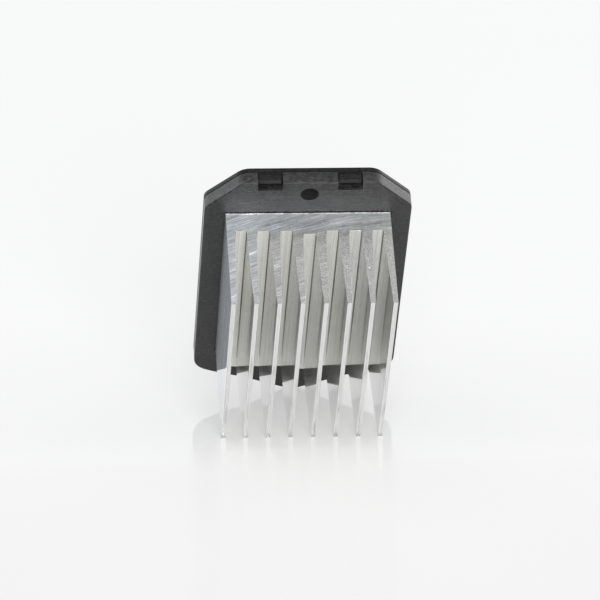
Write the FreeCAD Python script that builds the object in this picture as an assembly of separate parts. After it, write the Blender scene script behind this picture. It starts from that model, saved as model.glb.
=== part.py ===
import FreeCAD, Part
import math
import os

# Blower-motor control module: finned heat sink on a plastic front tray, rear cover, board and parts inside.
# Millimetres. X is across the unit, +Y points to the rear (connector side), +Z runs up along the fins.
# The origin is the centre of the fixing-screw hole, on the seating face of the flange.

# Flange outline
flange_half_width = 31.5
flange_top = 5.5
flange_corner_cut = 11.3
flange_side_corner_radius = 3.5
flange_top_corner_radius = 5.5
flange_foot_radius = 5.5
flange_bottom = -92.9
flange_bottom_arc_radius = 70.0
tray_depth = 4.2
tray_wall = 2.0
cover_flange_back = 6.0
parting_groove_width = 0.4
parting_groove_depth = 0.4
flange_edge_round = 0.35

# Screw hole, with a boss that carries it through the cover
screw_hole_radius = 2.75
screw_boss_radius = 4.4
boss_clearance = 0.2

# Locating tongue on the lower edge
tongue_half_width = 13.4
tongue_tip_half_width = 2.0
tongue_root_z = -92.2
tongue_side_z = -91.9
tongue_tip_z = -96.8
tongue_overlap = 3.0
tongue_tip_depth = 2.2

# Snap hooks and the notches they sit in
notch_centre_x = 12.1
notch_width = 7.5
notch_floor_z = 2.0
ledge_front_y = 2.75
ledge_top_z = 3.75
hook_width = 6.6
hook_top_z = 4.9
hook_bottom_z = 3.9
hook_tooth_z = 3.4
hook_front_y = 1.5
hook_tooth_back_y = 2.6
catch_width = 6.0
catch_front_y = 2.95
catch_back_y = 3.6
catch_depth = 0.5
catch_clearance = 0.15

# Extruded heat sink
sink_half_width = 25.05
sink_top = -8.9
sink_length = 67.4
sink_base = 6.9
sink_back = 0.3
sink_recess_gap = 0.5
sink_rib_extra = 1.2
fin_count = 8
fin_pitch = 7.0
fin_height = 27.94
fin_root_thickness = 3.0
fin_tip_thickness = 1.4
end_fin_root_thickness = 2.55
fin_root_radius = 0.3
fin_tip_radius = 0.3
sink_screw_x = 19.5
sink_screw_z = (-16.0, -69.0)
sink_screw_reach = 5.0
sink_hole_depth = 5.5

# Chamber in the tray, window for the transistor, seals
pocket_half_width = 28.1
pocket_top = -6.9
pocket_bottom = -82.9
pocket_radius = 4.5
window_half_width = 9.5
window_top = -34.5
window_bottom = -65.5
window_radius = 1.0
cover_seal_half_width = 29.75
cover_seal_top = -5.3
cover_seal_bottom = -85.5
cover_seal_radius = 6.0
cover_seal_width = 1.2
cover_seal_depth = 1.0
sink_seal_half_width = 23.0
sink_seal_top = -10.9
sink_seal_bottom = -74.3
sink_seal_radius = 3.0
sink_seal_width = 1.6
sink_seal_depth = 0.8
core_pocket_near_x = 6.4
core_pocket_far_x = 20.0
core_pocket_bottom = -3.2
core_pocket_top = 0.6

# Rear cover box
box_half_width = 27.0
box_top = -24.0
box_bottom = -83.1
box_back = 24.0
box_wall = 1.8
box_corner_radius = 4.0
box_back_round = 2.0
lip_front_y = 2.8
lip_wall = 1.2
lip_clearance = 0.2
label_half_width = 19.0
label_bottom = -57.0
label_top = -32.0
label_depth = 0.4
label_radius = 1.5
gusset_z = (-34.0, -46.0, -58.0, -70.0)
gusset_thickness = 1.6
gusset_width = 3.0
gusset_height = 7.0

# Connector shroud and blade terminals
shroud_half_width = 14.0
shroud_centre_z = -71.0
shroud_half_height = 7.0
shroud_wall = 1.5
shroud_back = 37.0
shroud_radius = 2.0
key_rib_x = (-6.0, 6.0)
key_rib_width = 1.4
key_rib_height = 1.0
latch_half_width = 3.0
latch_height = 1.6
latch_front_y = 28.5
latch_back_y = 32.5
blade_x = (-9.0, -3.0, 3.0, 9.0)
blade_thickness = 0.8
power_blade_width = 6.3
signal_blade_width = 2.8
blade_tip_y = 34.5
blade_tip_chamfer = 1.0
blade_shoulder_y = 11.2
prong_width = 1.2
prong_inset = 0.6
slot_clearance = 0.2

# Circuit board on four posts
board_half_width = 23.0
board_top = -29.0
board_bottom = -80.6
board_front = 9.0
board_thickness = 1.6
board_radius = 2.0
post_x = 19.3
post_z = (-32.2, -77.5)
post_radius = 2.6
post_overlap = 0.5
pilot_radius = 1.15
pilot_bottom_y = 4.0
access_hole_radius = 4.0
lead_tail = 1.0
hole_clearance = 0.15

# Fasteners: thread-forming screws with pan heads and cross recesses
m3_radius = 1.5
m3_hole_radius = 1.55
m3_head_radius = 2.8
m3_head_height = 1.9
washer_radius = 3.5
washer_thickness = 0.5
board_screw_radius = 1.1
board_screw_head_radius = 2.2
board_screw_head_height = 1.5
board_screw_tip_y = 4.6
recess_width = 0.7
recess_depth = 1.0
recess_share = 0.6
head_round_share = 0.4
tip_share = 0.4

# Power transistor in a three-lead flat package
pad_thickness = 0.25
pad_margin = 0.9
case_half_width = 7.95
case_top = -36.0
case_bottom = -56.8
case_thickness = 5.0
case_edge = 0.5
case_hole_radius = 1.8
transistor_screw_z = -42.2
transistor_screw_tip_y = -5.5
transistor_hole_depth = 6.2
tab_half_width = 6.95
tab_top = -37.0
tab_bottom = -54.3
tab_thickness = 2.0
lead_pitch = 5.45
lead_width = 1.2
lead_thickness = 0.6
lead_height = 2.4
lead_row_z = -61.0

# Electrolytic capacitor lying on the board
can_x = -15.5
can_bottom_z = -51.6
can_top_z = -36.0
can_radius = 4.8
sleeve_thickness = 0.15
sleeve_end_gap = 0.5
bung_radius = 4.2
bung_depth = 1.2
can_vent_width = 0.5
can_vent_depth = 0.25
can_lead_half_pitch = 2.5
can_lead_radius = 0.35
can_lead_row_z = -54.6

# Flyback diode
diode_x = -17.0
diode_radius = 2.6
diode_z = (-71.0, -61.5)
diode_lead_radius = 0.6
diode_lead_row_z = (-73.4, -59.1)
diode_band_width = 1.4
diode_band_thickness = 0.05

# Rod choke
choke_x = 16.0
choke_z = (-53.5, -38.5)
choke_rod_radius = 2.5
choke_wire_radius = 0.5
choke_turns = 9
choke_turn_pitch = 1.25
choke_lift = 3.9

# Shunt strip
shunt_x = 16.0
shunt_z = (-68.5, -58.5)
shunt_width = 4.0
shunt_thickness = 0.8
shunt_height = 4.0

# Control chip and small board parts
chip_z = -52.0
chip_half_length = 4.33
chip_half_width = 1.95
chip_standoff = 0.15
chip_height = 1.5
chip_lead_count = 7
chip_lead_pitch = 1.27
chip_lead_width = 0.42
chip_lead_thickness = 0.22
chip_lead_reach = 1.05
chip_lead_level = 0.8
ceramic_spots = ((-6.5, -33.0), (0.0, -33.0), (6.5, -33.0), (-10.2, -60.5))
resistor_spots = ((9.0, -45.0), (9.0, -48.0), (-7.4, -44.0), (-7.4, -47.0), (9.0, -51.0), (-7.4, -56.0))
ceramic_size = (3.2, 1.6, 1.2)
resistor_size = (2.0, 1.25, 0.5)
cap_share = 0.2
suppressor_x = 10.5
suppressor_z = -61.8
suppressor_size = (4.4, 3.6, 2.2)
suppressor_tab = 0.5
solder_radius = 1.3
solder_top_radius = 0.75
solder_height = 0.8

pad_back = sink_back + pad_thickness
tab_back = pad_back + tab_thickness
case_back = pad_back + case_thickness
board_back = board_front + board_thickness
tail_front = board_front - lead_tail
tail_back = board_back + lead_tail
slack = 1.0
close = 0.01


def point(x, y, z):
    return FreeCAD.Vector(x, y, z)


def block(x0, x1, y0, y1, z0, z1):
    return Part.makeBox(x1 - x0, y1 - y0, z1 - z0, point(x0, y0, z0))


def rod(radius, y0, y1, x, z):
    """Cylinder along Y."""
    return Part.makeCylinder(radius, y1 - y0, point(x, y0, z), point(0, 1, 0))


def upright(radius, x, y, z0, z1):
    """Cylinder along Z."""
    return Part.makeCylinder(radius, z1 - z0, point(x, y, z0), point(0, 0, 1))


def prism(corners, depth):
    """Closed polygon swept along a depth vector."""
    return Part.Face(Part.makePolygon(corners + corners[:1])).extrude(depth)


def edges_along(shape, axis):
    """Straight edges of a shape that run along one axis."""
    found = []
    for edge in shape.Edges:
        if len(edge.Vertexes) == 2:
            run = edge.Vertexes[1].Point.sub(edge.Vertexes[0].Point)
            if edge.Curve.TypeId == "Part::GeomLine" and abs(run.dot(axis)) > run.Length - close:
                found.append(edge)
    return found


def rear_edges(shape, y):
    """Edges that lie at a depth or behind it."""
    return [e for e in shape.Edges if e.BoundBox.YMin > y - close]


def round_edges(shape):
    """Circular edges of a shape."""
    return [e for e in shape.Edges if e.Curve.TypeId == "Part::GeomCircle"]


def rounded_box(half_width, y0, y1, z0, z1, radius):
    """Block centred on X = 0 with its four edges along Y rounded."""
    body = block(-half_width, half_width, y0, y1, z0, z1)
    return body.makeFillet(radius, edges_along(body, point(0, 1, 0)))


def ring_box(half_width, y0, y1, z0, z1, radius, width):
    """Closed ring of the given band width, centred on a rounded rectangle."""
    half_band = width / 2.0
    outer = rounded_box(half_width + half_band, y0, y1, z0 - half_band, z1 + half_band, radius + half_band)
    inner = rounded_box(half_width - half_band, y0, y1, z0 + half_band, z1 - half_band, radius - half_band)
    return outer.cut(inner)


def join(pieces):
    """Fuse touching pieces into one clean solid."""
    return pieces[0].multiFuse(pieces[1:]).removeSplitter()


def group(pieces):
    """Keep identical pieces as separate solids in one node."""
    return Part.makeCompound(pieces)


def mirror_pair(x):
    return (-x, x)


def wire_run(corners, radius):
    """Round wire through the given points, with ball-shaped bends."""
    pieces = []
    for start, end in zip(corners, corners[1:]):
        run = end.sub(start)
        pieces.append(Part.makeCylinder(radius, run.Length, start, run))
    for bend in corners[1:-1]:
        pieces.append(Part.makeSphere(radius, bend))
    return join(pieces)


def flange_blank(y0, y1, inset):
    """Flange outline between two depths, moved inward by the inset."""
    side = flange_half_width - inset
    top = flange_top - inset
    cut = flange_corner_cut - inset * (2.0 - math.sqrt(2.0))
    floor = flange_bottom - slack
    corners = [
        point(-side, y0, floor),
        point(side, y0, floor),
        point(side, y0, top - cut),
        point(side - cut, y0, top),
        point(-side + cut, y0, top),
        point(-side, y0, top - cut),
    ]
    body = prism(corners, point(0, y1 - y0, 0))
    arc_radius = flange_bottom_arc_radius - inset
    disc = rod(arc_radius, y0, y1, 0, flange_bottom + flange_bottom_arc_radius)
    body = body.common(disc)
    feet = [e for e in edges_along(body, point(0, 1, 0)) if e.CenterOfMass.z < top - cut - slack]
    body = body.makeFillet(flange_foot_radius - inset, feet)
    shoulders = [e for e in edges_along(body, point(0, 1, 0)) if abs(e.CenterOfMass.z - top + cut) < slack]
    body = body.makeFillet(flange_side_corner_radius - inset, shoulders)
    peaks = [e for e in edges_along(body, point(0, 1, 0)) if e.CenterOfMass.z > top - slack]
    return body.makeFillet(flange_top_corner_radius - inset, peaks)


def pan_screw(x, z, seat_y, head_radius, head_height, shank_radius, tip_y):
    """Pan-head screw along Y, head at the rear, with a cross recess and a short point."""
    head = rod(head_radius, seat_y, seat_y + head_height, x, z)
    head = head.makeFillet(head_height * head_round_share, rear_edges(head, seat_y + head_height))
    shank = rod(shank_radius, tip_y + shank_radius, seat_y, x, z)
    end_radius = shank_radius * tip_share
    tip = Part.makeCone(end_radius, shank_radius, shank_radius, point(x, tip_y, z), point(0, 1, 0))
    half = head_radius * recess_share
    top = seat_y + head_height
    arm = recess_width / 2.0
    across = block(x - half, x + half, top - recess_depth, top, z - arm, z + arm)
    down = block(x - arm, x + arm, top - recess_depth, top, z - half, z + half)
    return join([head, shank, tip]).cut(across).cut(down)


def fin_profile():
    """Half of the extrusion outline in plan, from the middle channel out to the side, X positive."""
    tip_y = -(sink_base + fin_height)
    root_half = fin_root_thickness / 2.0
    tip_half = fin_tip_thickness / 2.0
    corners = [(0.0, -(sink_base + sink_rib_extra))]
    for index in range(fin_count // 2):
        centre = (index + 0.5) * fin_pitch
        root_y = -sink_base
        if index == 0:
            corners.append((centre - root_half, -(sink_base + sink_rib_extra)))
        else:
            inner_root = centre - root_half
            if index == fin_count // 2 - 1:
                inner_root = sink_half_width - end_fin_root_thickness
            corners.append((inner_root, root_y))
        if index == fin_count // 2 - 1:
            corners.append((sink_half_width - fin_tip_thickness, tip_y))
            corners.append((sink_half_width, tip_y))
        else:
            corners.append((centre - tip_half, tip_y))
            corners.append((centre + tip_half, tip_y))
            corners.append((centre + root_half, root_y))
    corners.append((sink_half_width, sink_back))
    return corners


def heat_sink():
    right = fin_profile()
    left = [(-x, y) for x, y in reversed(right)]
    outline = right + left[:-1]
    sink_bottom = sink_top - sink_length
    corners = [point(x, y, sink_bottom) for x, y in outline]
    body = prism(corners, point(0, 0, sink_length))
    tip_y = -(sink_base + fin_height)
    tips = [e for e in edges_along(body, point(0, 0, 1)) if e.CenterOfMass.y < tip_y + close]
    body = body.makeFillet(fin_tip_radius, tips)
    deepest = -(sink_base + sink_rib_extra)
    roots = [e for e in edges_along(body, point(0, 0, 1))
             if deepest - close < e.CenterOfMass.y < -slack
             and slack < abs(e.CenterOfMass.x) < sink_half_width - slack]
    body = body.makeFillet(fin_root_radius, roots)
    for x in mirror_pair(sink_screw_x):
        for z in sink_screw_z:
            body = body.cut(rod(m3_hole_radius, -sink_hole_depth, sink_back, x, z))
    return body.cut(rod(m3_hole_radius, -transistor_hole_depth, sink_back, 0, transistor_screw_z))


def tongue():
    """Wedge that drops behind the lower edge of the mounting opening."""
    top = tongue_root_z + tongue_overlap
    front = [
        point(-tongue_half_width, 0, top),
        point(-tongue_half_width, 0, tongue_side_z),
        point(-tongue_tip_half_width, 0, tongue_tip_z),
        point(tongue_tip_half_width, 0, tongue_tip_z),
        point(tongue_half_width, 0, tongue_side_z),
        point(tongue_half_width, 0, top),
    ]
    side = [
        point(-tongue_half_width, 0, top),
        point(-tongue_half_width, 0, tongue_tip_z),
        point(-tongue_half_width, tongue_tip_depth, tongue_tip_z),
        point(-tongue_half_width, tray_depth, tongue_root_z),
        point(-tongue_half_width, tray_depth, top),
    ]
    return prism(front, point(0, tray_depth, 0)).common(prism(side, point(2 * tongue_half_width, 0, 0)))


def front_tray():
    body = flange_blank(0, tray_depth, 0)
    front_edges = [e for e in body.Edges if e.BoundBox.YMax < close]
    body = body.makeChamfer(flange_edge_round, front_edges)
    body = body.fuse(tongue())
    body = body.cut(rounded_box(pocket_half_width, tray_wall, tray_depth,
                                pocket_bottom, pocket_top, pocket_radius))
    body = body.cut(rounded_box(window_half_width, 0, tray_wall, window_bottom, window_top, window_radius))
    for side in mirror_pair(1.0):
        near = min(side * core_pocket_near_x, side * core_pocket_far_x)
        far = max(side * core_pocket_near_x, side * core_pocket_far_x)
        body = body.cut(block(near, far, tray_wall, tray_depth, core_pocket_bottom, core_pocket_top))
    body = body.cut(cover_seal_ring())
    seat_half = sink_half_width + sink_recess_gap
    body = body.cut(block(-seat_half, seat_half, -slack, sink_back, sink_top - sink_length - sink_recess_gap,
                          sink_top + sink_recess_gap))
    body = body.cut(sink_seal_ring())
    for x in mirror_pair(notch_centre_x):
        left = x - notch_width / 2.0
        right = x + notch_width / 2.0
        body = body.cut(block(left, right, -slack, ledge_front_y, notch_floor_z, flange_top + slack))
        body = body.cut(block(left, right, ledge_front_y, tray_depth, ledge_top_z, flange_top + slack))
        catch_left = x - catch_width / 2.0 - catch_clearance
        catch_right = x + catch_width / 2.0 + catch_clearance
        catch_low = pocket_bottom - catch_depth - catch_clearance
        body = body.cut(block(catch_left, catch_right, catch_front_y - catch_clearance,
                              catch_back_y + catch_clearance, catch_low, pocket_bottom))
    posts = [rod(screw_boss_radius, 0, cover_flange_back, 0, 0)]
    for x in mirror_pair(post_x):
        for z in post_z:
            posts.append(rod(post_radius, tray_wall - post_overlap, board_front, x, z))
    body = join([body] + posts)
    for x in mirror_pair(post_x):
        for z in post_z:
            body = body.cut(rod(pilot_radius, pilot_bottom_y, board_front, x, z))
    for x in mirror_pair(sink_screw_x):
        for z in sink_screw_z:
            body = body.cut(rod(m3_radius + hole_clearance, 0, tray_wall, x, z))
    return body.cut(rod(screw_hole_radius, 0, cover_flange_back, 0, 0))


def cover_seal_ring():
    return ring_box(cover_seal_half_width, tray_depth - cover_seal_depth, tray_depth, cover_seal_bottom,
                    cover_seal_top, cover_seal_radius, cover_seal_width)


def sink_seal_ring():
    return ring_box(sink_seal_half_width, sink_back, sink_back + sink_seal_depth, sink_seal_bottom,
                    sink_seal_top, sink_seal_radius, sink_seal_width)


def snap_hook(x):
    """Snap arm with a tooth that catches the ledge in the tray notch."""
    left = x - hook_width / 2.0
    corners = [
        point(left, cover_flange_back, hook_bottom_z),
        point(left, hook_tooth_back_y, hook_bottom_z),
        point(left, hook_tooth_back_y, hook_tooth_z),
        point(left, hook_front_y, hook_tooth_z),
        point(left, hook_front_y, hook_top_z),
        point(left, cover_flange_back, hook_top_z),
    ]
    return prism(corners, point(hook_width, 0, 0))


def locating_lip():
    """Rim inside the tray chamber, with two catches along its lower edge."""
    outer_half = pocket_half_width - lip_clearance
    low = pocket_bottom + lip_clearance
    high = pocket_top - lip_clearance
    outer = rounded_box(outer_half, lip_front_y, tray_depth, low, high, pocket_radius - lip_clearance)
    inner = rounded_box(outer_half - lip_wall, lip_front_y, tray_depth, low + lip_wall, high - lip_wall,
                        pocket_radius - lip_clearance - lip_wall)
    pieces = [outer.cut(inner)]
    for x in mirror_pair(notch_centre_x):
        pieces.append(block(x - catch_width / 2.0, x + catch_width / 2.0, catch_front_y, catch_back_y,
                            pocket_bottom - catch_depth, low + lip_wall))
    return pieces


def gusset(side, z):
    """Triangular rib between the cover box and its flange."""
    wall_x = side * (box_half_width - lip_clearance)
    foot_x = side * (box_half_width + gusset_width)
    corners = [
        point(wall_x, cover_flange_back - parting_groove_width, z),
        point(foot_x, cover_flange_back - parting_groove_width, z),
        point(foot_x, cover_flange_back, z),
        point(wall_x, cover_flange_back + gusset_height, z),
    ]
    return prism(corners, point(0, 0, gusset_thickness))


def shroud():
    low = shroud_centre_z - shroud_half_height
    high = shroud_centre_z + shroud_half_height
    outer = rounded_box(shroud_half_width, box_back - box_wall, shroud_back, low, high, shroud_radius)
    inner = rounded_box(shroud_half_width - shroud_wall, box_back, shroud_back, low + shroud_wall,
                        high - shroud_wall, shroud_radius - shroud_wall / 2.0)
    pieces = [outer.cut(inner)]
    for x in key_rib_x:
        pieces.append(block(x - key_rib_width / 2.0, x + key_rib_width / 2.0, box_back - slack, shroud_back,
                            low + shroud_wall / 2.0, low + shroud_wall + key_rib_height))
    latch = [
        point(-latch_half_width, latch_front_y, high - shroud_wall / 2.0),
        point(-latch_half_width, latch_front_y, high + latch_height),
        point(-latch_half_width, latch_front_y + slack, high + latch_height),
        point(-latch_half_width, latch_back_y, high),
        point(-latch_half_width, latch_back_y, high - shroud_wall / 2.0),
    ]
    pieces.append(prism(latch, point(2 * latch_half_width, 0, 0)))
    return pieces


def rear_cover():
    step_y = tray_depth + parting_groove_width
    rim = flange_blank(step_y, cover_flange_back, 0)
    rim = rim.makeFillet(flange_edge_round, rear_edges(rim, cover_flange_back))
    neck = flange_blank(tray_depth, step_y, parting_groove_depth)
    box = rounded_box(box_half_width, step_y, box_back, box_bottom, box_top, box_corner_radius)
    box = box.makeFillet(box_back_round, rear_edges(box, box_back))
    inner = rounded_box(box_half_width - box_wall, tray_depth, box_back - box_wall, box_bottom + box_wall,
                        box_top - box_wall, box_corner_radius - box_wall)
    pieces = [rim, neck, box]
    for side in mirror_pair(1.0):
        for z in gusset_z:
            pieces.append(gusset(side, z))
    body = join(pieces).cut(inner)
    body = join([body] + shroud() + locating_lip())
    body = body.cut(rounded_box(label_half_width, box_back - label_depth, box_back, label_bottom, label_top,
                                label_radius))
    body = body.cut(rod(screw_boss_radius + boss_clearance, tray_depth, cover_flange_back, 0, 0))
    body = join([body, snap_hook(-notch_centre_x), snap_hook(notch_centre_x)])
    for index, x in enumerate(blade_x):
        half = blade_width(index) / 2.0 + slot_clearance
        reach = blade_thickness / 2.0 + slot_clearance
        body = body.cut(block(x - reach, x + reach, box_back - box_wall - slack, box_back,
                              shroud_centre_z - half, shroud_centre_z + half))
    return body


def blade_width(index):
    if index == len(blade_x) - 1:
        return signal_blade_width
    return power_blade_width


def prong_spans(index):
    """Z ranges of the legs that go through the board."""
    half = blade_width(index) / 2.0
    if index == len(blade_x) - 1:
        return [(shroud_centre_z - prong_width / 2.0, shroud_centre_z + prong_width / 2.0)]
    low = shroud_centre_z - half + prong_inset
    high = shroud_centre_z + half - prong_inset
    return [(low, low + prong_width), (high - prong_width, high)]


def blade_terminal(index):
    """Flat male blade with soldering legs."""
    half = blade_width(index) / 2.0
    left = blade_x[index] - blade_thickness / 2.0
    low = shroud_centre_z - half
    high = shroud_centre_z + half
    corners = [
        point(left, blade_shoulder_y, low),
        point(left, blade_tip_y - blade_tip_chamfer, low),
        point(left, blade_tip_y, low + blade_tip_chamfer),
        point(left, blade_tip_y, high - blade_tip_chamfer),
        point(left, blade_tip_y - blade_tip_chamfer, high),
        point(left, blade_shoulder_y, high),
    ]
    pieces = [prism(corners, point(blade_thickness, 0, 0))]
    for start, end in prong_spans(index):
        pieces.append(block(left, left + blade_thickness,
                            tail_front, blade_shoulder_y + prong_width, start, end))
    return join(pieces)


def transistor_tab():
    body = block(-tab_half_width, tab_half_width, pad_back, tab_back, tab_bottom, tab_top)
    return body.cut(rod(case_hole_radius, pad_back, tab_back, 0, transistor_screw_z))


def transistor_case():
    body = block(-case_half_width, case_half_width, pad_back, case_back, case_bottom, case_top)
    body = body.makeChamfer(case_edge, rear_edges(body, case_back))
    body = body.cut(block(-tab_half_width, tab_half_width, pad_back, tab_back, tab_bottom, tab_top))
    return body.cut(rod(case_hole_radius, pad_back, case_back, 0, transistor_screw_z))


def transistor_lead(x):
    """Flat lead from the case, bent back through the board."""
    left = x - lead_width / 2.0
    right = x + lead_width / 2.0
    level = pad_back + lead_height
    half = lead_thickness / 2.0
    flat = block(left, right, level, level + lead_thickness, lead_row_z - half, case_bottom)
    stem = block(left, right, level, tail_back, lead_row_z - half, lead_row_z + half)
    return join([flat, stem])


def transistor_leads():
    return group([transistor_lead(index * lead_pitch) for index in (-1, 0, 1)])


def thermal_pad():
    body = block(-case_half_width - pad_margin, case_half_width + pad_margin, sink_back, pad_back,
                 case_bottom - pad_margin, case_top + pad_margin)
    return body.cut(rod(case_hole_radius, sink_back, pad_back, 0, transistor_screw_z))


def transistor_washer():
    ring = rod(washer_radius, case_back, case_back + washer_thickness, 0, transistor_screw_z)
    return ring.cut(rod(m3_hole_radius, case_back, case_back + washer_thickness, 0, transistor_screw_z))


def transistor_screw():
    seat = case_back + washer_thickness
    return pan_screw(0, transistor_screw_z, seat, m3_head_radius, m3_head_height, m3_radius,
                     transistor_screw_tip_y)


def sink_screws():
    screws = []
    for x in mirror_pair(sink_screw_x):
        for z in sink_screw_z:
            screws.append(pan_screw(x, z, tray_wall, m3_head_radius, m3_head_height, m3_radius,
                                    -sink_screw_reach))
    return group(screws)


def board_screws():
    screws = []
    for x in mirror_pair(post_x):
        for z in post_z:
            screws.append(pan_screw(x, z, board_back, board_screw_head_radius, board_screw_head_height,
                                    board_screw_radius, board_screw_tip_y))
    return group(screws)


def can_axis_y():
    return board_back + can_radius + sleeve_thickness + hole_clearance


def capacitor_can():
    body = upright(can_radius, can_x, can_axis_y(), can_bottom_z, can_top_z)
    body = body.makeFillet(can_vent_width, [e for e in body.Edges if e.BoundBox.ZMin > can_top_z - close])
    vent_half = can_radius * recess_share
    y = can_axis_y()
    low = can_top_z - can_vent_depth
    body = body.cut(block(can_x - vent_half, can_x + vent_half, y - can_vent_width / 2.0,
                          y + can_vent_width / 2.0, low, can_top_z))
    body = body.cut(block(can_x - can_vent_width / 2.0, can_x + can_vent_width / 2.0, y - vent_half,
                          y + vent_half, low, can_top_z))
    return body.cut(upright(bung_radius, can_x, y, can_bottom_z, can_bottom_z + bung_depth))


def capacitor_sleeve():
    outer = upright(can_radius + sleeve_thickness, can_x, can_axis_y(),
                    can_bottom_z, can_top_z - sleeve_end_gap)
    return outer.cut(upright(can_radius, can_x, can_axis_y(), can_bottom_z, can_top_z))


def can_lead(offset):
    x = can_x + offset
    y = can_axis_y()
    corners = [
        point(x, y, can_bottom_z + bung_depth),
        point(x, y, can_lead_row_z),
        point(x, tail_front, can_lead_row_z),
    ]
    return wire_run(corners, can_lead_radius)


def capacitor_leads():
    return group([can_lead(-can_lead_half_pitch), can_lead(can_lead_half_pitch)])


def capacitor_bung():
    body = upright(bung_radius, can_x, can_axis_y(), can_bottom_z, can_bottom_z + bung_depth)
    return body.cut(capacitor_leads())


def diode_axis_y():
    return board_back + diode_radius + hole_clearance


def diode_body():
    body = upright(diode_radius, diode_x, diode_axis_y(), diode_z[0], diode_z[1])
    return body.makeFillet(diode_lead_radius, round_edges(body))


def diode_band():
    """Ring that marks the cathode end."""
    low = diode_z[1] - 2.0 * diode_band_width
    outer = upright(diode_radius + diode_band_thickness, diode_x, diode_axis_y(), low, low + diode_band_width)
    return outer.cut(upright(diode_radius, diode_x, diode_axis_y(), low, low + diode_band_width))


def diode_leads():
    leads = []
    for face_z, row_z in zip(diode_z, diode_lead_row_z):
        corners = [
            point(diode_x, diode_axis_y(), face_z),
            point(diode_x, diode_axis_y(), row_z),
            point(diode_x, tail_front, row_z),
        ]
        leads.append(wire_run(corners, diode_lead_radius))
    return group(leads)


def choke_axis_y():
    return board_back + choke_lift


def choke_core():
    body = upright(choke_rod_radius, choke_x, choke_axis_y(), choke_z[0], choke_z[1])
    return body.makeChamfer(choke_wire_radius / 2.0, round_edges(body))


def choke_winding():
    """Helical winding on the rod with both ends led to the board."""
    turn_radius = choke_rod_radius + choke_wire_radius + hole_clearance / 2.0
    start_z, end_z = choke_leg_rows()
    path = Part.Wire(Part.makeHelix(choke_turn_pitch, end_z - start_z, turn_radius))
    profile = Part.Wire([Part.makeCircle(choke_wire_radius, point(turn_radius, 0, 0), point(0, 1, 0))])
    coil = path.makePipeShell([profile], True, True)
    coil.rotate(point(0, 0, 0), point(0, 0, 1), -90)
    coil.translate(point(choke_x, choke_axis_y(), start_z))
    pieces = [coil]
    for z in (start_z, end_z):
        top = point(choke_x, choke_axis_y() - turn_radius, z)
        pieces.append(Part.makeSphere(choke_wire_radius, top))
        drop = top.y - tail_front
        pieces.append(Part.makeCylinder(choke_wire_radius, drop, top, point(0, -1, 0)))
    return join(pieces)


def choke_leg_rows():
    """Heights of the two ends of the winding."""
    height = choke_turns * choke_turn_pitch
    start_z = (choke_z[0] + choke_z[1] - height) / 2.0
    return (start_z, start_z + height)


def shunt_resistor():
    left = shunt_x - shunt_width / 2.0
    right = shunt_x + shunt_width / 2.0
    top = board_back + shunt_height
    bridge = block(left, right, top - shunt_thickness, top, shunt_z[0], shunt_z[1])
    legs = [bridge]
    for z in (shunt_z[0], shunt_z[1] - shunt_thickness):
        legs.append(block(left, right, board_back, top, z, z + shunt_thickness))
        legs.append(block(shunt_x - prong_width / 2.0, shunt_x + prong_width / 2.0,
                          tail_front, board_back + slack, z, z + shunt_thickness))
    return join(legs)


def control_chip():
    low = board_back + chip_standoff
    body = block(-chip_half_length, chip_half_length, low, low + chip_height,
                 chip_z - chip_half_width, chip_z + chip_half_width)
    return body.makeChamfer(chip_standoff, rear_edges(body, low + chip_height))


def chip_lead(x, side):
    """Gull-wing lead."""
    left = x - chip_lead_width / 2.0
    face_z = chip_z + side * chip_half_width
    knee_z = face_z + side * chip_lead_reach / 2.0
    toe_z = face_z + side * chip_lead_reach
    level = board_back + chip_lead_level
    corners = [
        point(left, level, face_z),
        point(left, level, knee_z + side * chip_lead_thickness),
        point(left, board_back + chip_lead_thickness, knee_z + side * chip_lead_thickness),
        point(left, board_back + chip_lead_thickness, toe_z),
        point(left, board_back, toe_z),
        point(left, board_back, knee_z),
        point(left, level - chip_lead_thickness, knee_z),
        point(left, level - chip_lead_thickness, face_z),
    ]
    return prism(corners, point(chip_lead_width, 0, 0))


def chip_leads():
    leads = []
    for index in range(chip_lead_count):
        x = (index - (chip_lead_count - 1) / 2.0) * chip_lead_pitch
        for side in mirror_pair(1.0):
            leads.append(chip_lead(x, side))
    return group(leads)


def chip_bodies(spots, size):
    """Middle parts of surface-mounted two-ended components, long side along X."""
    length, width, height = size
    half = length / 2.0 - length * cap_share
    bodies = []
    for x, z in spots:
        bodies.append(block(x - half, x + half, board_back, board_back + height,
                            z - width / 2.0, z + width / 2.0))
    return group(bodies)


def chip_ends(spots, size):
    """Plated ends of the same components."""
    length, width, height = size
    cap = length * cap_share
    ends = []
    for x, z in spots:
        for left in (x - length / 2.0, x + length / 2.0 - cap):
            ends.append(block(left, left + cap, board_back, board_back + height,
                              z - width / 2.0, z + width / 2.0))
    return group(ends)


def surge_suppressor():
    length, width, height = suppressor_size
    body = block(suppressor_x - length / 2.0, suppressor_x + length / 2.0, board_back,
                 board_back + height, suppressor_z - width / 2.0, suppressor_z + width / 2.0)
    return body.makeChamfer(chip_standoff, rear_edges(body, board_back + height))


def suppressor_tabs():
    length, width, height = suppressor_size
    tabs = []
    for side in mirror_pair(1.0):
        inner = suppressor_x + side * length / 2.0
        outer = inner + side * suppressor_tab
        tabs.append(block(min(inner, outer), max(inner, outer), board_back, board_back + height / 2.0,
                          suppressor_z - width / 4.0, suppressor_z + width / 4.0))
    return group(tabs)


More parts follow.
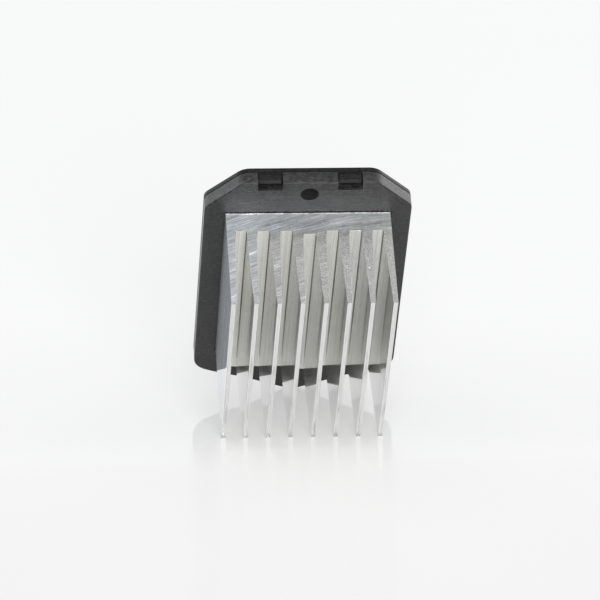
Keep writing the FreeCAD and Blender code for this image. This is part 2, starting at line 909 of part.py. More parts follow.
def front_joint_spots():
    """Places where leads stick out of the front side of the board."""
    spots = [(can_x - can_lead_half_pitch, can_lead_row_z), (can_x + can_lead_half_pitch, can_lead_row_z)]
    for z in diode_lead_row_z:
        spots.append((diode_x, z))
    for z in choke_leg_rows():
        spots.append((choke_x, z))
    spots.append((shunt_x, shunt_z[0] + shunt_thickness / 2.0))
    spots.append((shunt_x, shunt_z[1] - shunt_thickness / 2.0))
    for index, x in enumerate(blade_x):
        for start, end in prong_spans(index):
            spots.append((x, (start + end) / 2.0))
    return spots


def solder_joints():
    """Solder cones around every through-board lead."""
    leads = [capacitor_leads(), diode_leads(), choke_winding(), shunt_resistor(), transistor_leads()]
    for index in range(len(blade_x)):
        leads.append(blade_terminal(index))
    metal = Part.makeCompound(leads)
    cones = []
    for x, z in front_joint_spots():
        cone = Part.makeCone(solder_radius, solder_top_radius, solder_height, point(x, board_front, z),
                             point(0, -1, 0))
        cones.append(cone.cut(metal))
    for index in (-1, 0, 1):
        cone = Part.makeCone(solder_radius, solder_top_radius, solder_height,
                             point(index * lead_pitch, board_back, lead_row_z), point(0, 1, 0))
        cones.append(cone.cut(metal))
    return group(cones)


def circuit_board():
    body = rounded_box(board_half_width, board_front, board_back, board_bottom, board_top, board_radius)
    cuts = [rod(access_hole_radius, board_front, board_back, 0, transistor_screw_z)]
    for x in mirror_pair(post_x):
        for z in post_z:
            cuts.append(rod(board_screw_radius + hole_clearance, board_front, board_back, x, z))
    for offset in mirror_pair(can_lead_half_pitch):
        cuts.append(rod(can_lead_radius + hole_clearance, board_front, board_back,
                        can_x + offset, can_lead_row_z))
    for z in diode_lead_row_z:
        cuts.append(rod(diode_lead_radius + hole_clearance, board_front, board_back, diode_x, z))
    for z in choke_leg_rows():
        cuts.append(rod(choke_wire_radius + hole_clearance, board_front, board_back, choke_x, z))
    half = prong_width / 2.0 + hole_clearance
    for z in (shunt_z[0], shunt_z[1] - shunt_thickness):
        cuts.append(block(shunt_x - half, shunt_x + half, board_front, board_back, z - hole_clearance,
                          z + shunt_thickness + hole_clearance))
    for index in (-1, 0, 1):
        x = index * lead_pitch
        cuts.append(block(x - half, x + half, board_front, board_back, lead_row_z - half, lead_row_z + half))
    reach = blade_thickness / 2.0 + hole_clearance
    for index, x in enumerate(blade_x):
        for start, end in prong_spans(index):
            cuts.append(block(x - reach, x + reach, board_front, board_back, start - hole_clearance,
                              end + hole_clearance))
    return body.cut(Part.makeCompound(cuts))


nodes = {
    "heat_sink": heat_sink(),
    "front_tray": front_tray(),
    "rear_cover": rear_cover(),
    "sink_seal": sink_seal_ring(),
    "cover_seal": cover_seal_ring(),
    "sink_screws": sink_screws(),
    "thermal_pad": thermal_pad(),
    "transistor_case": transistor_case(),
    "transistor_tab": transistor_tab(),
    "transistor_leads": transistor_leads(),
    "transistor_washer": transistor_washer(),
    "transistor_screw": transistor_screw(),
    "circuit_board": circuit_board(),
    "board_screws": board_screws(),
    "supply_terminal": blade_terminal(0),
    "motor_terminal": blade_terminal(1),
    "ground_terminal": blade_terminal(2),
    "signal_terminal": blade_terminal(3),
    "capacitor_can": capacitor_can(),
    "capacitor_sleeve": capacitor_sleeve(),
    "capacitor_bung": capacitor_bung(),
    "capacitor_leads": capacitor_leads(),
    "diode_body": diode_body(),
    "diode_band": diode_band(),
    "diode_leads": diode_leads(),
    "choke_core": choke_core(),
    "choke_winding": choke_winding(),
    "shunt_resistor": shunt_resistor(),
    "control_chip": control_chip(),
    "chip_leads": chip_leads(),
    "ceramic_capacitors": chip_bodies(ceramic_spots, ceramic_size),
    "ceramic_capacitor_ends": chip_ends(ceramic_spots, ceramic_size),
    "chip_resistors": chip_bodies(resistor_spots, resistor_size),
    "chip_resistor_ends": chip_ends(resistor_spots, resistor_size),
    "surge_suppressor": surge_suppressor(),
    "suppressor_tabs": suppressor_tabs(),
    "solder_joints": solder_joints(),
}

os.makedirs("parts", exist_ok=True)
for name, shape in nodes.items():
    shape.exportStep("parts/" + name + ".step")
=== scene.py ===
import math
import random

import bmesh
import bpy
from mathutils import Matrix, Vector


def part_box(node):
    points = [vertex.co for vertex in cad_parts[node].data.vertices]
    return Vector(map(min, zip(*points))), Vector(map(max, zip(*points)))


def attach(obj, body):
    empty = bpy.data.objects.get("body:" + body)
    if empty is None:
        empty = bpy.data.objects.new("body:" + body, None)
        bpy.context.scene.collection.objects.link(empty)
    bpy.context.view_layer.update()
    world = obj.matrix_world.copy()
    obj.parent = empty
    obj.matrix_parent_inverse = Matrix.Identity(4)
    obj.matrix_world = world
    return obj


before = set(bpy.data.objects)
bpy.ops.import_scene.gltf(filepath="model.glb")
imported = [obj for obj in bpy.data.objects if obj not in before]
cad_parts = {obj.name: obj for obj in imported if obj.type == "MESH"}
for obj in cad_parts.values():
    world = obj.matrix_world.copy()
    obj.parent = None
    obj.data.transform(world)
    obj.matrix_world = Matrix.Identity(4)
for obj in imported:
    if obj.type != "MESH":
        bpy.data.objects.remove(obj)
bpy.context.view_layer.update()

MM = 0.001

# Camera, in the part's own frame
CAMERA_ELEVATION = math.radians(51.83)
CAMERA_AZIMUTH = math.radians(-7.746)
CAMERA_ROLL = math.radians(-5.463)
CAMERA_AIM = Vector((0, -0.015, -0.0453))
CAMERA_DISTANCE = 1.5051
AIM_SHIFT_RIGHT = 0.001199
AIM_SHIFT_DOWN = 0.007830
LENS_LENGTH = 294.06
SENSOR_WIDTH = 36.0

# Studio: name, place, height of the aim, width, height, radiance and colour, in the standing frame
LIGHTS = (
    ("top_light", (0, 0.15, 1.3), 0.03, 1.3, 1.3, 0.12, (0.98, 0.99, 1.0)),
    ("left_light", (-1.25, 0.85, 0.45), 0.05, 0.8, 0.8, 2.0, (0.96, 0.98, 1.0)),
    ("front_light", (0.05, -1.3, 0.60), 0.05, 0.7, 0.5, 18.0, (1.0, 0.995, 0.98)),
    ("right_light", (1.25, 0.85, 0.40), 0.05, 0.8, 0.8, 2.5, (1.0, 0.99, 0.98)),
)
WORLD_COLOUR = (0.98, 0.99, 1.0, 1)
WORLD_STRENGTH = 0.80
FLOOR_HALF_WIDTH = 8.0

# Saw burr on the ends of the heat sink
BURR_SEED = 11
SEAM_BURR_HEIGHT = 0.14 * MM
SEAM_BURR_WIDTH = 0.09 * MM
SEAM_BURR_PIECES = 150
EDGE_BURR_HEIGHT = 0.03 * MM
EDGE_BURR_WIDTH = 0.06 * MM
EDGE_BURR_STEP = 0.35 * MM


# ---------------------------------------------------------------- camera, floor and light

def camera_axes():
    """Right, down and forward directions of the camera."""
    back = Vector((
        math.sin(CAMERA_AZIMUTH) * math.cos(CAMERA_ELEVATION),
        -math.cos(CAMERA_AZIMUTH) * math.cos(CAMERA_ELEVATION),
        math.sin(CAMERA_ELEVATION),
    ))
    forward = -back
    level_right = forward.cross(Vector((0, 0, 1))).normalized()
    level_down = forward.cross(level_right)
    right = math.cos(CAMERA_ROLL) * level_right + math.sin(CAMERA_ROLL) * level_down
    down = -math.sin(CAMERA_ROLL) * level_right + math.cos(CAMERA_ROLL) * level_down
    return right, down, forward


def make_camera():
    right, down, forward = camera_axes()
    place = CAMERA_AIM - (right * AIM_SHIFT_RIGHT + down * AIM_SHIFT_DOWN + forward * CAMERA_DISTANCE)
    data = bpy.data.cameras.new("camera")
    data.sensor_width = SENSOR_WIDTH
    data.lens = LENS_LENGTH
    data.clip_start = 0.1
    data.clip_end = 30.0
    camera = bpy.data.objects.new("camera", data)
    bpy.context.scene.collection.objects.link(camera)
    turn = Matrix((right, -down, -forward)).transposed()
    camera.matrix_world = Matrix.Translation(place) @ turn.to_4x4()
    bpy.context.scene.camera = camera


def floor_frame():
    """Point on the floor under the part, and the floor's normal.

    The part leans on the lower fin corners and on the front edge of the tongue.
    """
    sink_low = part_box("heat_sink")[0]
    tray_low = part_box("front_tray")[0]
    feet = Vector((0, sink_low.y, sink_low.z))
    tongue = Vector((0, 0, tray_low.z))
    run = tongue - feet
    normal = Vector((0, -run.z, run.y)).normalized()
    return (feet + tongue) / 2, normal


def standing_matrix(centre, normal):
    """Frame with its Z along the floor's normal and its X along the part's X."""
    across = Vector((1, 0, 0))
    ahead = normal.cross(across).normalized()
    turn = Matrix((across, ahead, normal)).transposed()
    return Matrix.Translation(centre) @ turn.to_4x4()


def make_floor(stand):
    half = FLOOR_HALF_WIDTH
    mesh = bpy.data.meshes.new("floor")
    corners = [(-half, -half, 0), (half, -half, 0), (half, half, 0), (-half, half, 0)]
    mesh.from_pydata([stand @ Vector(c) for c in corners], [], [(0, 1, 2, 3)])
    floor = bpy.data.objects.new("floor", mesh)
    bpy.context.scene.collection.objects.link(floor)
    return floor


def soft_light(name, stand, place, aim, width, height, radiance, colour):
    """Soft rectangular light, placed in the standing frame and turned towards a point."""
    data = bpy.data.lights.new(name, "AREA")
    data.shape = "RECTANGLE"
    data.size = width
    data.size_y = height
    data.energy = radiance * math.pi * width * height
    data.color = colour
    light = bpy.data.objects.new(name, data)
    bpy.context.scene.collection.objects.link(light)
    start = stand @ Vector(place)
    towards = (stand @ Vector(aim)) - start
    light.matrix_world = Matrix.Translation(start) @ towards.to_track_quat("-Z", "Y").to_matrix().to_4x4()
    light.visible_camera = False


def make_world():
    world = bpy.data.worlds.new("studio")
    world.use_nodes = True
    background = world.node_tree.nodes["Background"]
    background.inputs["Color"].default_value = WORLD_COLOUR
    background.inputs["Strength"].default_value = WORLD_STRENGTH
    bpy.context.scene.world = world


# ---------------------------------------------------------------- materials

class Maker:
    """Builds one node material. Inputs may be numbers, tuples or other nodes' sockets."""

    def __init__(self, name):
        self.material = bpy.data.materials.new(name)
        self.material.use_nodes = True
        self.tree = self.material.node_tree
        self.tree.nodes.clear()
        self.out = self.tree.nodes.new("ShaderNodeOutputMaterial")

    def feed(self, socket, value):
        if isinstance(value, bpy.types.NodeSocket):
            self.tree.links.new(value, socket)
        else:
            socket.default_value = value

    def node(self, kind, inputs=None, **settings):
        made = self.tree.nodes.new("ShaderNode" + kind)
        for key, value in settings.items():
            setattr(made, key, value)
        for key, value in (inputs or {}).items():
            self.feed(made.inputs[key], value)
        return made

    def place(self):
        return self.node("TexCoord").outputs["Object"]

    def facing(self):
        return self.node("NewGeometry").outputs["True Normal"]

    def axes(self, vector):
        parts = self.node("SeparateXYZ", {0: vector})
        return parts.outputs[0], parts.outputs[1], parts.outputs[2]

    def join(self, x, y, z):
        return self.node("CombineXYZ", {0: x, 1: y, 2: z}).outputs[0]

    def maths(self, operation, first, second=0.0, third=0.0):
        made = self.node("Math", {0: first, 1: second}, operation=operation)
        if operation == "MULTIPLY_ADD":
            self.feed(made.inputs[2], third)
        return made.outputs[0]

    def times(self, first, second):
        return self.maths("MULTIPLY", first, second)

    def below(self, value, limit):
        """1 where the value is under the limit and 0 elsewhere."""
        return self.maths("LESS_THAN", value, limit)

    def over(self, value, limit):
        """1 where the value is over the limit and 0 elsewhere."""
        return self.maths("GREATER_THAN", value, limit)

    def unsigned(self, value):
        return self.maths("ABSOLUTE", value)

    def scaled(self, vector, scale):
        return self.node("VectorMath", {0: vector, 1: scale}, operation="MULTIPLY").outputs[0]

    def noise(self, vector, scale, detail=3.0, roughness=0.5, distortion=0.0):
        """Noise with its own scale along each axis, in cycles per metre."""
        made = self.node("TexNoise", {
            "Vector": self.scaled(vector, scale),
            "Scale": 1.0,
            "Detail": detail,
            "Roughness": roughness,
            "Distortion": distortion,
        })
        return made.outputs[0]

    def specks(self, vector, scale, size):
        """1 inside sparse round specks and 0 elsewhere."""
        spread = self.scaled(vector, (scale, scale, scale))
        cells = self.node("TexVoronoi", {"Vector": spread, "Scale": 1.0})
        chance = self.node("SeparateColor", {0: cells.outputs["Color"]}).outputs[0]
        return self.times(self.below(cells.outputs["Distance"], size), self.over(chance, 0.86))

    def span(self, value, low, high, to_low=0.0, to_high=1.0, smooth=False):
        """Maps low..high to to_low..to_high, clamped."""
        made = self.node("MapRange", {
            "Value": value,
            "From Min": low,
            "From Max": high,
            "To Min": to_low,
            "To Max": to_high,
        })
        made.interpolation_type = "SMOOTHSTEP" if smooth else "LINEAR"
        return made.outputs[0]

    def mix(self, share, first, second):
        """Colour mix."""
        made = self.node("Mix", data_type="RGBA")
        self.feed(made.inputs[0], share)
        self.feed(made.inputs[6], first)
        self.feed(made.inputs[7], second)
        return made.outputs[2]

    def blend(self, share, first, second):
        """Number mix."""
        made = self.node("Mix", data_type="FLOAT")
        self.feed(made.inputs[0], share)
        self.feed(made.inputs[2], first)
        self.feed(made.inputs[3], second)
        return made.outputs[0]

    def bump(self, height, depth, strength):
        """Bump whose full height is the given depth in metres."""
        return self.node("Bump", {"Strength": strength, "Distance": depth, "Height": height}).outputs[0]

    def surface(self, **inputs):
        """Principled surface. Input names use _ for spaces."""
        made = self.node("BsdfPrincipled")
        for key, value in inputs.items():
            self.feed(made.inputs[key.replace("_", " ")], value)
        self.tree.links.new(made.outputs[0], self.out.inputs[0])


def grey(level, blue=0.0):
    return (level * (1 - blue), level, level * (1 + blue), 1)


def floor_material():
    """Glossy pale floor whose reflection fades with distance, with a painted shade that lowers its glow in
    front of the part, and which is clear from below.
    """
    make = Maker("floor_gloss")
    place = make.place()
    cloud = make.noise(place, (3, 3, 3), 2)
    away = make.times(make.axes(place)[1], -1.0)
    blur = make.span(away, 30 * MM, 50 * MM, smooth=True)
    fade = make.span(away, 30 * MM, 58 * MM, smooth=True)
    far = make.span(away, 50 * MM, 170 * MM)
    # Painted shade: the floor's glow lower in front of the part, for light falloff and the part's soft shadow
    falloff_shade = make.span(away, -60 * MM, 25 * MM, smooth=True)
    near_rough = make.span(cloud, 0.3, 0.7, 0.02, 0.03)
    near_glow = make.maths("MULTIPLY_ADD", falloff_shade, -0.025, 0.50)
    glow = make.maths("MULTIPLY_ADD", fade, 0.055, near_glow)
    shader = make.node("BsdfPrincipled", {
        "Base Color": make.mix(cloud, (0.300, 0.300, 0.297, 1), (0.312, 0.312, 0.310, 1)),
        "Roughness": make.maths("MULTIPLY_ADD", blur, 0.13, near_rough),
        "Specular IOR Level": make.maths("MULTIPLY_ADD", fade, -0.855, 0.9),
        "Emission Color": (1, 1, 1, 1),
        "Emission Strength": make.maths("MULTIPLY_ADD", far, -0.07, glow),
        "IOR": 1.45,
    })
    clear = make.node("BsdfTransparent")
    under = make.node("NewGeometry").outputs["Backfacing"]
    both = make.node("MixShader", {0: under, 1: shader.outputs[0], 2: clear.outputs[0]})
    make.tree.links.new(both.outputs[0], make.out.inputs[0])
    return make.material


def extruded_colour(make, place, normal, lines, outside):
    """Colour of the extruded faces: die lines, smears, lit and shaded copies of the alloy by face, fin tips
    with painted highlights on their edges, painted shade towards the fins' feet broken up by noise, and a
    painted contact shadow.
    """
    low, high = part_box("heat_sink")
    y, z = make.axes(place)[1:]
    normal_x, normal_y = make.axes(normal)[:2]
    haze = make.noise(place, (60, 60, 40), 3, 0.5)
    smear = make.noise(place, (420, 420, 160), 4, 0.65)
    shade_blotches = make.noise(place, (1500, 1500, 110), 4, 0.7)

    # Painted light: lit and shaded copies of one alloy, the channel floors lighter and warmer and the outer
    # faces bluer than the fin faces
    fin_dark, fin_light = (0.57, 0.575, 0.56, 1), (0.79, 0.795, 0.775, 1)
    lit_channel_dark, lit_channel_light = (0.64, 0.64, 0.60, 1), (0.86, 0.86, 0.81, 1)
    blue_lit_outer_dark, blue_lit_outer_light = (0.50, 0.55, 0.61, 1), (0.78, 0.835, 0.89, 1)
    channel_floor = make.times(make.below(normal_y, -0.6), make.over(y, high.y - 9.5 * MM))
    dark = make.mix(outside, make.mix(channel_floor, fin_dark, lit_channel_dark), blue_lit_outer_dark)
    light = make.mix(outside, make.mix(channel_floor, fin_light, lit_channel_light), blue_lit_outer_light)
    colour = make.mix(make.span(lines, 0.38, 0.62), dark, light)

    smear_tone, haze_tone = (0.60, 0.60, 0.58, 1), (0.78, 0.78, 0.77, 1)
    colour = make.mix(make.span(smear, 0.52, 0.75, 0.0, 0.45), colour, smear_tone)
    colour = make.mix(make.span(haze, 0.45, 0.8, 0.0, 0.35), colour, haze_tone)

    tip_tone, tip_highlight_tone = (0.71, 0.71, 0.705, 1), (0.95, 0.95, 0.95, 1)
    lower_tip_shade_tone = (0.20, 0.195, 0.18, 1)
    tip = make.span(y, low.y + 0.5 * MM, low.y + 0.15 * MM)
    colour = make.mix(make.times(tip, 0.8), colour, tip_tone)
    # Painted shade: the fin tips darker towards the feet, broken up by noise
    lower = make.span(z, low.z + 70 * MM, low.z + 4 * MM, 0.25, 1.0, smooth=True)
    lower_tip_shade = make.times(make.times(tip, lower), make.span(shade_blotches, 0.50, 0.68, 0.0, 0.6))
    colour = make.mix(lower_tip_shade, colour, lower_tip_shade_tone)
    # Painted highlight on the rounded edges of the fin tips
    tip_edge_highlight = make.times(tip, make.span(make.unsigned(normal_x), 0.15, 0.5))
    colour = make.mix(make.times(tip_edge_highlight, 0.8), colour, tip_highlight_tone)

    contact_shadow_tone, end_highlight_tone = (0.26, 0.26, 0.26, 1), (0.90, 0.91, 0.92, 1)
    # Painted contact shadow at the feet of the fin tips
    foot = make.times(make.span(z, low.z + 3.0 * MM, low.z, smooth=True),
                      make.span(y, low.y + 4 * MM, low.y + 1 * MM))
    colour = make.mix(make.times(foot, 0.60), colour, contact_shadow_tone)
    # Painted highlight along both sawn ends of the extruded faces, where the saw also left burr
    to_end = make.maths("MINIMUM", make.maths("SUBTRACT", high.z, z), make.maths("SUBTRACT", z, low.z))
    return make.mix(make.times(make.span(to_end, 0.25 * MM, 0.08 * MM), 0.7), colour, end_highlight_tone)


def sawn_colour(make, place, teeth, cuts, bands, smooth_side):
    """Colour of the sawn ends, and the share of the bright lip along the tray, which is a painted highlight.
    """
    low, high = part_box("heat_sink")
    x, y = make.axes(place)[:2]
    patches = make.noise(place, (900, 900, 900), 4, 0.65)
    tooth = make.span(teeth, 0.40, 0.60)
    cool = make.mix(tooth, (0.24, 0.25, 0.262, 1), (0.55, 0.565, 0.585, 1))
    warm = make.mix(tooth, (0.225, 0.222, 0.214, 1), (0.48, 0.475, 0.463, 1))
    colour = make.mix(make.span(x, -22 * MM, -4 * MM), cool, warm)

    # Painted light: the sawn end's base strip lighter and bluer towards the left
    lit_base_strip = make.times(make.span(y, high.y - 9.5 * MM, high.y - 6.0 * MM),
                       make.span(x, 22 * MM, low.x, 0.25, 0.8))
    colour = make.mix(lit_base_strip, colour, make.mix(tooth, (0.24, 0.275, 0.32, 1), (0.72, 0.77, 0.83, 1)))

    glint_tone, patch_tone, bright_tone = (0.92, 0.94, 0.96, 1), (0.80, 0.82, 0.84, 1), (0.96, 0.97, 0.98, 1)
    crossing = make.times(make.span(bands, 0.52, 0.68), make.span(cuts, 0.50, 0.66))
    glint = make.times(make.span(crossing, 0.1, 0.9), make.maths("SUBTRACT", 1.0, smooth_side))
    colour = make.mix(glint, colour, glint_tone)
    colour = make.mix(make.span(patches, 0.58, 0.72, 0.0, 0.5), colour, patch_tone)
    sparkle = make.times(make.specks(place, 750, 0.17), make.span(smooth_side, 0.1, 0.5))
    colour = make.mix(make.times(sparkle, 0.9), colour, bright_tone)

    # Bright ragged lip along the tray as a painted highlight, and the gap behind it painted near black as
    # shade
    frayed_y = make.maths("MULTIPLY_ADD", make.maths("SUBTRACT", patches, 0.5), 0.9 * MM, y)
    breaks = make.span(make.noise(place, (420, 420, 420), 4, 0.7), 0.42, 0.58, 0.25, 1.0)
    lip_highlight = make.times(make.span(frayed_y, -0.55 * MM, -0.30 * MM), breaks)
    # Painted light: the sawn end lighter and bluer towards the tray
    near_tray_light = make.span(y, -4.2 * MM, -0.6 * MM, 0.0, 0.5)
    colour = make.mix(near_tray_light, colour, make.mix(tooth, (0.42, 0.45, 0.48, 1), (0.80, 0.83, 0.86, 1)))
    colour = make.mix(make.times(lip_highlight, 0.9), colour, bright_tone)
    # Painted shade in the gap between the sawn end and the tray
    colour = make.mix(make.span(y, -0.04 * MM, 0.02 * MM), colour, (0.012, 0.012, 0.012, 1))
    return colour, lip_highlight


def extrusion_material():
    """Extruded aluminium with sawn ends. The grain runs along Z, and the saw marks are wide arcs."""
    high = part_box("heat_sink")[1]
    make = Maker("extruded_aluminium")
    place = make.place()
    x, y = make.axes(place)[:2]
    normal = make.facing()
    sawn = make.over(make.unsigned(make.axes(normal)[2]), 0.7)
    outside = make.over(make.unsigned(x), high.x - 0.35 * MM)

    # Die lines of the extruded faces
    broad = make.noise(place, (700, 700, 5), 3, 0.6)
    middle = make.noise(place, (1700, 1700, 9), 3, 0.6)
    fine = make.noise(place, (3800, 3800, 14), 3, 0.6)
    coarse_lines = make.maths("MULTIPLY_ADD", middle, 0.35, make.times(broad, 0.30))
    lines = make.maths("MULTIPLY_ADD", fine, 0.35, coarse_lines)

    # Saw marks of the ends, round the centre of the saw, and a peened look on the right-hand fin ends
    saw_x = make.maths("SUBTRACT", x, 41 * MM)
    saw_y = make.maths("SUBTRACT", y, -147 * MM)
    reach = make.maths("SQRT", make.maths("ADD", make.times(saw_x, saw_x), make.times(saw_y, saw_y)))
    angle = make.maths("ARCTAN2", saw_y, saw_x)
    swing = make.join(reach, make.times(angle, 0.147), 0.0)
    cuts = make.noise(swing, (2600, 90, 1), 3, 0.65)
    bands = make.noise(swing, (420, 60, 1), 3, 0.6)
    chatter = make.noise(swing, (1500, 700, 1), 4, 0.7, 1.2)
    coarse_cuts = make.maths("MULTIPLY_ADD", bands, 0.3, make.times(chatter, 0.25))
    teeth = make.maths("MULTIPLY_ADD", cuts, 0.45, coarse_cuts)
    smooth_side = make.times(make.span(x, -10 * MM, 14 * MM, 0.0, 0.75),
                             make.span(y, high.y - 6.0 * MM, high.y - 9.0 * MM))
    peened = make.noise(place, (2500, 3000, 900), 3, 0.7, 0.6)
    teeth = make.blend(smooth_side, teeth, make.span(peened, 0.22, 0.78, 0.0, 1.0))

    extruded = extruded_colour(make, place, normal, lines, outside)
    saw, lip_highlight = sawn_colour(make, place, teeth, cuts, bands, smooth_side)
    rough_inside = make.span(lines, 0.3, 0.7, 0.28, 0.20)
    rough_outside = make.span(lines, 0.3, 0.7, 0.54, 0.46)
    rough_extruded = make.blend(outside, rough_inside, rough_outside)
    rough_saw = make.span(teeth, 0.3, 0.7, 0.52, 0.38)
    line_bump = make.bump(lines, 0.01 * MM, 0.25)
    saw_bump = make.bump(teeth, 0.05 * MM, 0.8)
    turned = make.node("Mix", {0: sawn, 4: line_bump, 5: saw_bump}, data_type="VECTOR")
    across = make.node("VectorMath", {0: normal, 1: (0, 0, 1)}, operation="CROSS_PRODUCT").outputs[0]
    round_saw = make.join(make.times(saw_y, -1.0), saw_x, 0.0)
    tangent = make.node("Mix", {0: sawn, 4: across, 5: round_saw}, data_type="VECTOR")
    make.surface(
        Base_Color=make.mix(sawn, extruded, saw),
        Metallic=make.blend(sawn, make.blend(outside, 0.82, 1.0), make.blend(lip_highlight, 0.55, 0.15)),
        Roughness=make.blend(sawn, rough_extruded, rough_saw),
        Anisotropic=0.7,
        Coat_Weight=1.0,
        Coat_Roughness=0.04,
        Tangent=tangent.outputs[1],
        Normal=turned.outputs[1],
    )
    return make.material


def plastic_material(name, dark, light, rough, grain_depth, scuff, ior):
    """Black moulding with a fine texture, flow streaks in its gloss, scuffed front edges, dust specks, snap
    hook fronts painted lighter as a lit copy, and painted shade in the screw hole and along the seam above
    the heat sink.
    """
    sink_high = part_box("heat_sink")[1]
    make = Maker(name)
    place = make.place()
    x, y, z = make.axes(place)
    normal_y = make.axes(make.facing())[1]
    turned_y = make.unsigned(normal_y)
    pores = make.noise(place, (3600, 3600, 3600), 3, 0.6)
    orange = make.noise(place, (900, 1300, 1700), 4, 0.7)
    grain = make.maths("MULTIPLY_ADD", pores, 0.5, make.times(orange, 0.5))
    cloud = make.noise(place, (55, 55, 55), 4, 0.6)
    flow = make.noise(place, (150, 1400, 1200), 4, 0.65, 1.2)

    mottle = make.maths("MULTIPLY_ADD", cloud, 0.25, make.times(orange, 0.75))
    body = make.mix(make.span(mottle, 0.40, 0.60), dark, light)
    behind_tone = make.mix(make.span(orange, 0.35, 0.65), (0.010, 0.010, 0.0105, 1), (0.026, 0.026, 0.027, 1))
    body = make.mix(make.span(y, 6.0 * MM, 7.5 * MM), body, behind_tone)

    # Worn front edges, the snap hooks' front faces painted lighter as a lit copy of the plastic, and dust
    worn_tone, lit_hook_tone, dust_tone = (0.20, 0.20, 0.205, 1), (0.028, 0.028, 0.028, 1), (0.55, 0.55, 0.54, 1)
    rub = make.noise(place, (260, 2400, 900), 3, 0.7, 2.0)
    rim = make.times(make.span(turned_y, 0.9, 0.4), make.span(y, 4.2 * MM, 0.1 * MM))
    worn = make.times(rim, make.span(rub, 0.55, 0.72))
    body = make.mix(make.times(worn, scuff), body, worn_tone)
    hook = make.times(make.below(normal_y, -0.7), make.over(y, 1.0 * MM))
    body = make.mix(make.times(hook, make.span(orange, 0.3, 0.7, 0.5, 1.0)), body, lit_hook_tone)
    body = make.mix(make.times(make.specks(place, 260, 0.045), 0.7), body, dust_tone)

    streaks = make.span(flow, 0.35, 0.65, -0.13 * scuff, 0.13 * scuff)
    gloss = make.maths("ADD", streaks, make.span(cloud, 0.3, 0.7, rough - 0.015, rough + 0.02))
    rounded = make.times(make.span(turned_y, 0.10, 0.25), make.span(turned_y, 0.98, 0.90))
    gloss = make.maths("MULTIPLY_ADD", rounded, 0.28, gloss)

    # Painted shade: the screw hole and the ragged seam above the heat sink painted near black
    unlit_tone = (0.004, 0.004, 0.004, 1)
    off_axis = make.maths("SQRT", make.maths("ADD", make.times(x, x), make.times(z, z)))
    bored = make.below(off_axis, 2.8 * MM)
    torn = make.noise(place, (1300, 200, 200), 4, 0.75)
    ragged = make.maths("MULTIPLY_ADD", make.span(torn, 0.44, 0.66), 0.80 * MM, sink_high.z + 0.50 * MM)
    beside = make.below(make.unsigned(x), sink_high.x + 0.55 * MM)
    seam_shadow = make.times(make.below(z, ragged), make.times(beside, make.over(z, sink_high.z)))
    seam_shadow = make.times(seam_shadow, make.below(y, 0.6 * MM))
    unlit = make.maths("MAXIMUM", bored, seam_shadow)
    make.surface(
        Base_Color=make.mix(unlit, body, unlit_tone),
        Roughness=make.maths("MAXIMUM", gloss, make.times(unlit, 0.95)),
        IOR=ior,
        Normal=make.bump(grain, grain_depth, 0.7),
    )
    return make.material


def mottled_material(name, first, second, scale, rough, depth=0.02 * MM, fine=2600, metallic=0.0, spot=None):
    """Two-tone surface with a coarse pattern, fine grain in bump and colour, and optional specks."""
    make = Maker(name)
    place = make.place()
    coarse = make.noise(place, scale, 4, 0.6)
    grain = make.noise(place, (fine, fine, fine), 3, 0.6)
    pattern = make.maths("MULTIPLY_ADD", grain, 0.35, make.times(coarse, 0.65))
    colour = make.mix(make.span(pattern, 0.35, 0.65), first, second)
    if spot is not None:
        colour = make.mix(make.specks(place, 900, 0.16), colour, spot)
    make.surface(
        Base_Color=colour,
        Metallic=metallic,
        Roughness=make.span(pattern, 0.35, 0.65, rough[0], rough[1]),
        Normal=make.bump(pattern, depth, 0.7),
    )
    return make.material


def board_material():
    """Green solder mask over copper tracks, with a woven glass grain and bare board edges."""
    make = Maker("solder_mask_board")
    place = make.place()
    x, _, z = make.axes(place)
    facing_y = make.unsigned(make.axes(make.facing())[1])
    flat = make.join(x, z, 0.0)
    tracks = make.node("TexBrick", {
        "Vector": flat,
        "Scale": 160.0,
        "Mortar Size": 0.06,
        "Mortar Smooth": 0.2,
        "Brick Width": 1.7,
        "Row Height": 0.42,
    })
    copper = tracks.outputs["Fac"]
    weave = make.node("TexWave", {"Vector": flat, "Scale": 420.0, "Distortion": 1.0, "Detail": 2.0},
                      bands_direction="DIAGONAL").outputs[1]
    cloud = make.noise(place, (120, 120, 120), 3)
    mask = make.mix(make.span(cloud, 0.3, 0.7), (0.010, 0.090, 0.035, 1), (0.016, 0.125, 0.050, 1))
    mask = make.mix(make.times(copper, 0.6), mask, (0.05, 0.24, 0.09, 1))
    mask = make.mix(make.times(weave, 0.15), mask, (0.03, 0.16, 0.06, 1))
    bare = make.mix(make.noise(place, (900, 5200, 900), 2), (0.40, 0.36, 0.20, 1), (0.58, 0.52, 0.32, 1))
    height = make.maths("MULTIPLY_ADD", copper, 0.8, make.times(weave, 0.2))
    make.surface(
        Base_Color=make.mix(make.over(facing_y, 0.5), bare, mask),
        Roughness=make.span(weave, 0.0, 1.0, 0.24, 0.36),
        Normal=make.bump(height, 0.035 * MM, 0.7),
    )
    return make.material


def brushed_material(name, first, second, scale, rough):
    """Drawn or plated metal with lines along one axis and faint stains."""
    make = Maker(name)
    place = make.place()
    lines = make.noise(place, scale, 3, 0.6)
    stain = make.noise(place, (400, 400, 400), 3, 0.6)
    colour = make.mix(make.span(lines, 0.3, 0.7), first, second)
    colour = make.mix(make.span(stain, 0.5, 0.8, 0.0, 0.4), colour, first)
    make.surface(
        Base_Color=colour,
        Metallic=1.0,
        Roughness=make.span(stain, 0.3, 0.7, rough[0], rough[1]),
        Normal=make.bump(lines, 0.01 * MM, 0.5),
    )
    return make.material


